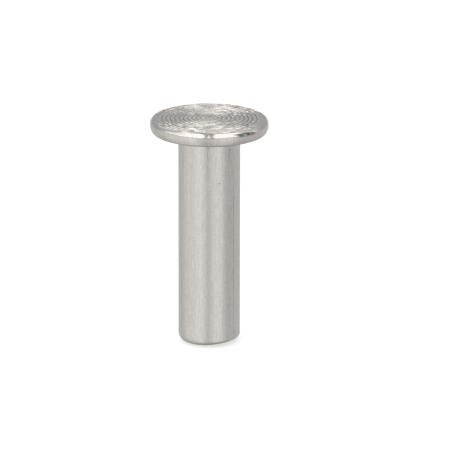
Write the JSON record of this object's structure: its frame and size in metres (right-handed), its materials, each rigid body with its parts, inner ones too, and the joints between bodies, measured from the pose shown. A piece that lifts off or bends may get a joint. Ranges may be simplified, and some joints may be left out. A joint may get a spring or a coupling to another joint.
{
  "type": "brake lining rivet",
  "caption": "Solid flat-head rivet that holds a friction lining on a brake shoe: round shank with rolled end, low head with faced, ringed top.",
  "frame": {"origin": "centre of the shank's end face, which stands on z = 0", "axes": "+Z along the rivet's axis, from the shank's end towards the head"},
  "size_m": [0.0076, 0.0076, 0.015],
  "materials": {
    "aluminium": "bright soft metal: faced rings on the head's top, burnished shoulder, satin drawn shank"
  },
  "bodies": {
    "root": {"rivet": "aluminium"}
  },
  "joints": []
}
